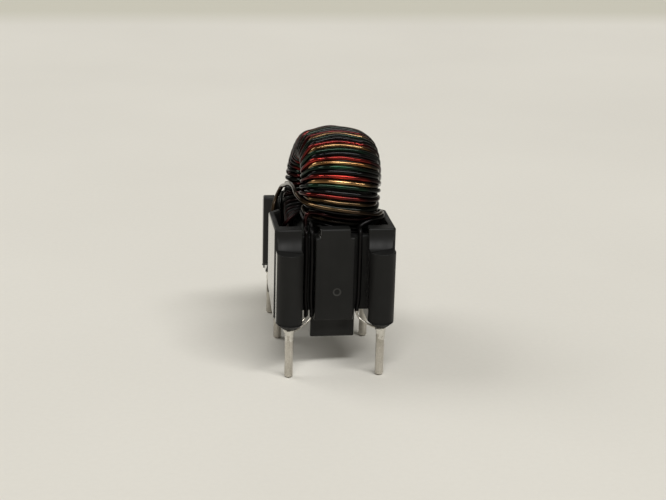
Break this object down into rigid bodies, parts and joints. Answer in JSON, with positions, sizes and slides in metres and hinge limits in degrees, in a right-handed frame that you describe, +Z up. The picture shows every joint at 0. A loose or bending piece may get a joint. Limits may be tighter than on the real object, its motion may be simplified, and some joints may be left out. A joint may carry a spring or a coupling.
{
  "type": "pulse transformer",
  "caption": "Through-hole pulse transformer: a ferrite ring wound with coloured enamelled wires stands on edge in an open black moulded header on round tinned pins.",
  "frame": {"origin": "middle of the part in plan, at the pin tips", "axes": "+X across the two pin columns, +Y from the near end with its two wires in one groove to the far end, +Z up out of the board"},
  "size_m": [0.01, 0.0172, 0.0194],
  "materials": {
    "header": "satin black moulding",
    "tinned": "dull tin plate",
    "ferrite": "coated, matt dark grey",
    "enamel_red": "clear glossy red enamel over copper",
    "enamel_natural": "clear glossy enamel over copper",
    "enamel_green": "glossy green enamel over copper",
    "enamel_dark": "glossy near-black enamel over copper",
    "solder": "bright solder",
    "resin": "glossy dark resin"
  },
  "bodies": {
    "root": {"header": "header", "pin_near_left": "tinned", "pin_near_right": "tinned", "pin_mid_left": "tinned", "pin_mid_right": "tinned", "pin_far_left": "tinned", "pin_far_right": "tinned", "core": "ferrite", "winding_red": "enamel_red", "winding_natural": "enamel_natural", "winding_green": "enamel_green", "winding_dark": "enamel_dark", "solder_near_left": "solder", "solder_near_right": "solder", "solder_mid_left": "solder", "solder_mid_right": "solder", "solder_far_left": "solder", "solder_far_right": "solder", "cement": "resin"}
  },
  "joints": []
}
